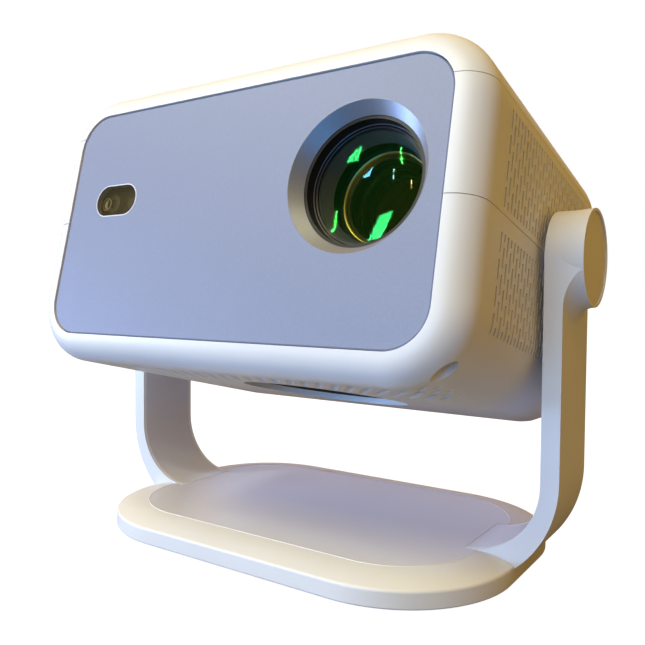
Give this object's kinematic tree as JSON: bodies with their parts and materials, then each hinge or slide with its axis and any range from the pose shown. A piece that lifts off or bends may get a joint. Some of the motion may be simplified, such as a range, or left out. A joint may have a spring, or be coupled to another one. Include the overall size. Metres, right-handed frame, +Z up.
{
  "type": "home projector",
  "caption": "Compact home projector: rounded head with flat front panel, recessed lens and vented sides, tilting between the arms of a weighted U-shaped stand.",
  "frame": {"origin": "on the ground, straight under the middle of the tilt axis", "axes": "+X along the tilt axis, to the right seen from the front; the lens faces -Y; +Z up"},
  "size_m": [0.232, 0.1665, 0.1922],
  "materials": {
    "white_casing": "fine satin moulded",
    "stand_inlay": "satin, faintly metallic",
    "cap_white": "satin moulded",
    "panel_grey": "blue-grey metallic paint, matte",
    "tinted_window": "dark translucent, polished",
    "lens_glass": "coated optical glass",
    "optic_plastic": "clear moulded plate",
    "lens_black": "matte black moulded",
    "fan_black": "satin black moulded",
    "foam": "open-cell foam",
    "steel": "plated",
    "motor_can": "drawn can",
    "sink_aluminium": "extruded",
    "board_green": "solder mask",
    "lcd_glass": "polarised",
    "mirror": "front silvered",
    "inlet_black": "moulded",
    "speaker_black": "moulded, paper cone",
    "sole_rubber": "matte"
  },
  "bodies": {
    "stand": {"base_shell": "white_casing", "base_pad": "stand_inlay", "ballast_plate": "steel", "rubber_sole": "sole_rubber", "base_screws": "steel", "right_arm": "white_casing", "left_arm": "white_casing", "right_arm_cover": "stand_inlay", "left_arm_cover": "stand_inlay", "right_pivot_cap": "cap_white", "left_pivot_cap": "cap_white", "right_pivot_bolt": "steel", "left_pivot_bolt": "steel", "friction_washers": "steel", "pivot_nuts": "steel"},
    "head": {"lower_shell": "white_casing", "upper_shell": "white_casing", "top_cover": "white_casing", "front_panel": "panel_grey", "sensor_window": "tinted_window", "focus_sensor": "board_green", "intake_cover": "lens_black", "dust_filter": "foam", "housing_screws": "steel", "cover_screws": "steel", "right_pivot_hub": "steel", "left_pivot_hub": "steel", "lens_housing": "lens_black", "focus_motor": "motor_can", "engine_housing": "lens_black", "lcd_panel": "lcd_glass", "field_lens": "optic_plastic", "condenser_lens": "lens_glass", "folding_mirror": "mirror", "led_module": "board_green", "heat_sink": "sink_aluminium", "exhaust_fan_frame": "fan_black", "intake_fan_frame": "fan_black", "mainboard": "board_green", "board_screws": "steel", "power_board": "board_green", "rear_port_plate": "lens_black", "port_sockets": "steel", "audio_jack": "inlet_black", "power_inlet": "inlet_black", "right_speaker": "speaker_black", "left_speaker": "speaker_black", "button_board": "board_green"},
    "lens": {"lens_barrel": "lens_black", "front_lens": "lens_glass", "second_lens": "lens_glass", "middle_lens": "lens_glass", "rear_lens": "lens_glass"},
    "focus_screw": {"focus_screw": "steel"},
    "exhaust_rotor": {"exhaust_fan_rotor": "fan_black"},
    "intake_rotor": {"intake_fan_rotor": "fan_black"},
    "button": {"power_button": "cap_white"}
  },
  "joints": [
    {"name": "head_tilt", "type": "hinge", "parent": "stand", "child": "head", "pos_m": [0, 0, 0.12], "axis": [-1, 0, 0], "range_deg": [-102.94, 77.06]},
    {"name": "lens_focus", "type": "slide", "parent": "head", "child": "lens", "axis": [0, -0.9746, 0.2239], "range_m": [-0.0025, 0.0025]},
    {"name": "focus_screw_turn", "type": "hinge", "parent": "head", "child": "focus_screw", "pos_m": [0.0562, -0.04458, 0.10459], "axis": [0, -0.9746, 0.2239], "range_deg": [-451, 451]},
    {"name": "exhaust_fan_spin", "type": "hinge", "parent": "head", "child": "exhaust_rotor", "pos_m": [-0.09, -0.03404, 0.13706], "axis": [-1, 0, 0], "continuous": true},
    {"name": "intake_fan_spin", "type": "hinge", "parent": "head", "child": "intake_rotor", "pos_m": [0.01, -0.013, 0.07681], "axis": [0, 0.2239, 0.9746], "continuous": true},
    {"name": "button_press", "type": "slide", "parent": "head", "child": "button", "axis": [0, -0.2239, -0.9746], "range_m": [0, 0.001], "stiffness_N_per_m": 800, "springref_m": -0.001}
  ],
  "couplings": [
    {"joint": "focus_screw_turn", "follows": "lens_focus", "rad_per_m": 3141.6}
  ]
}
